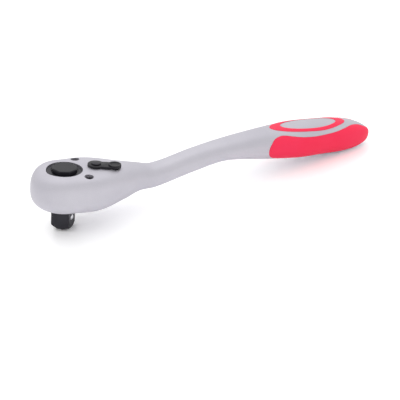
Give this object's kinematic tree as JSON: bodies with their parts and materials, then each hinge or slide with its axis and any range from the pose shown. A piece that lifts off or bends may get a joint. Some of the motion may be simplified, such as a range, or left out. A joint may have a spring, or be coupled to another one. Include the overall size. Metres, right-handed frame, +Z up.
{
  "type": "offset ratchet",
  "caption": "Reversible ratchet with a cranked handle, pear-shaped head, male square drive, quick-release button, reversing lever and soft grip inlays.",
  "frame": {"origin": "centre of the drive square's end face, on the drive axis", "axes": "+Z up the drive axis through the head, +X along the handle to the butt"},
  "size_m": [0.2673, 0.0454, 0.0608],
  "materials": {
    "satin_chrome": "satin chrome plate on forged steel",
    "black_oxide": "black oxide",
    "black_plastic": "satin black",
    "red_rubber": "smooth soft rubber",
    "black_rubber": "matt",
    "spring_steel": "bright drawn",
    "polished_steel": "polished",
    "bronze": "plain bearing bronze"
  },
  "bodies": {
    "handle": {"ratchet_body": "satin_chrome", "cover_plate": "satin_chrome", "cover_screw_left": "black_oxide", "cover_screw_right": "black_oxide", "grip_panel_left": "red_rubber", "grip_panel_right": "red_rubber", "oval_inlay": "red_rubber", "thrust_washer": "bronze"},
    "drive": {"drive_gear": "black_oxide", "drive_seal": "black_rubber", "button_circlip": "black_oxide", "release_spring": "spring_steel"},
    "button": {"release_button": "black_plastic", "release_pin": "spring_steel"},
    "ball": {"detent_ball": "polished_steel"},
    "lever": {"reversing_lever": "black_plastic", "lever_spindle": "black_oxide", "lever_seal": "black_rubber", "pawl_spring": "spring_steel"},
    "plunger": {"pawl_plunger": "spring_steel"},
    "pawl": {"pawl": "spring_steel"}
  },
  "joints": [
    {"name": "drive_spin", "type": "hinge", "parent": "handle", "child": "drive", "pos_m": [0, 0, 0], "axis": [0, 0, 1], "continuous": true},
    {"name": "release_press", "type": "slide", "parent": "drive", "child": "button", "axis": [0, 0, -1], "range_m": [0, 0.002], "stiffness_N_per_m": 400, "springref_m": -0.003, "deforming": ["release_spring"]},
    {"name": "ball_retract", "type": "slide", "parent": "drive", "child": "ball", "axis": [-0.766, 0.6428, 0], "range_m": [0, 0.0009]},
    {"name": "lever_swing", "type": "hinge", "parent": "handle", "child": "lever", "pos_m": [0.022, 0, 0.0418], "axis": [0, 0, 1], "range_deg": [0, 48]},
    {"name": "plunger_slide", "type": "slide", "parent": "lever", "child": "plunger", "axis": [0.9135, -0.4067, 0], "range_m": [0, 0.0008], "stiffness_N_per_m": 600, "springref_m": -0.001, "deforming": ["pawl_spring"]},
    {"name": "pawl_rock", "type": "hinge", "parent": "handle", "child": "pawl", "pos_m": [0.0168, 0, 0.0284], "axis": [0, 0, 1], "range_deg": [-5, 0]}
  ],
  "couplings": [
    {"joint": "ball_retract", "follows": "release_press", "ratio": 0.45},
    {"joint": "pawl_rock", "follows": "lever_swing", "ratio": -0.10417}
  ]
}
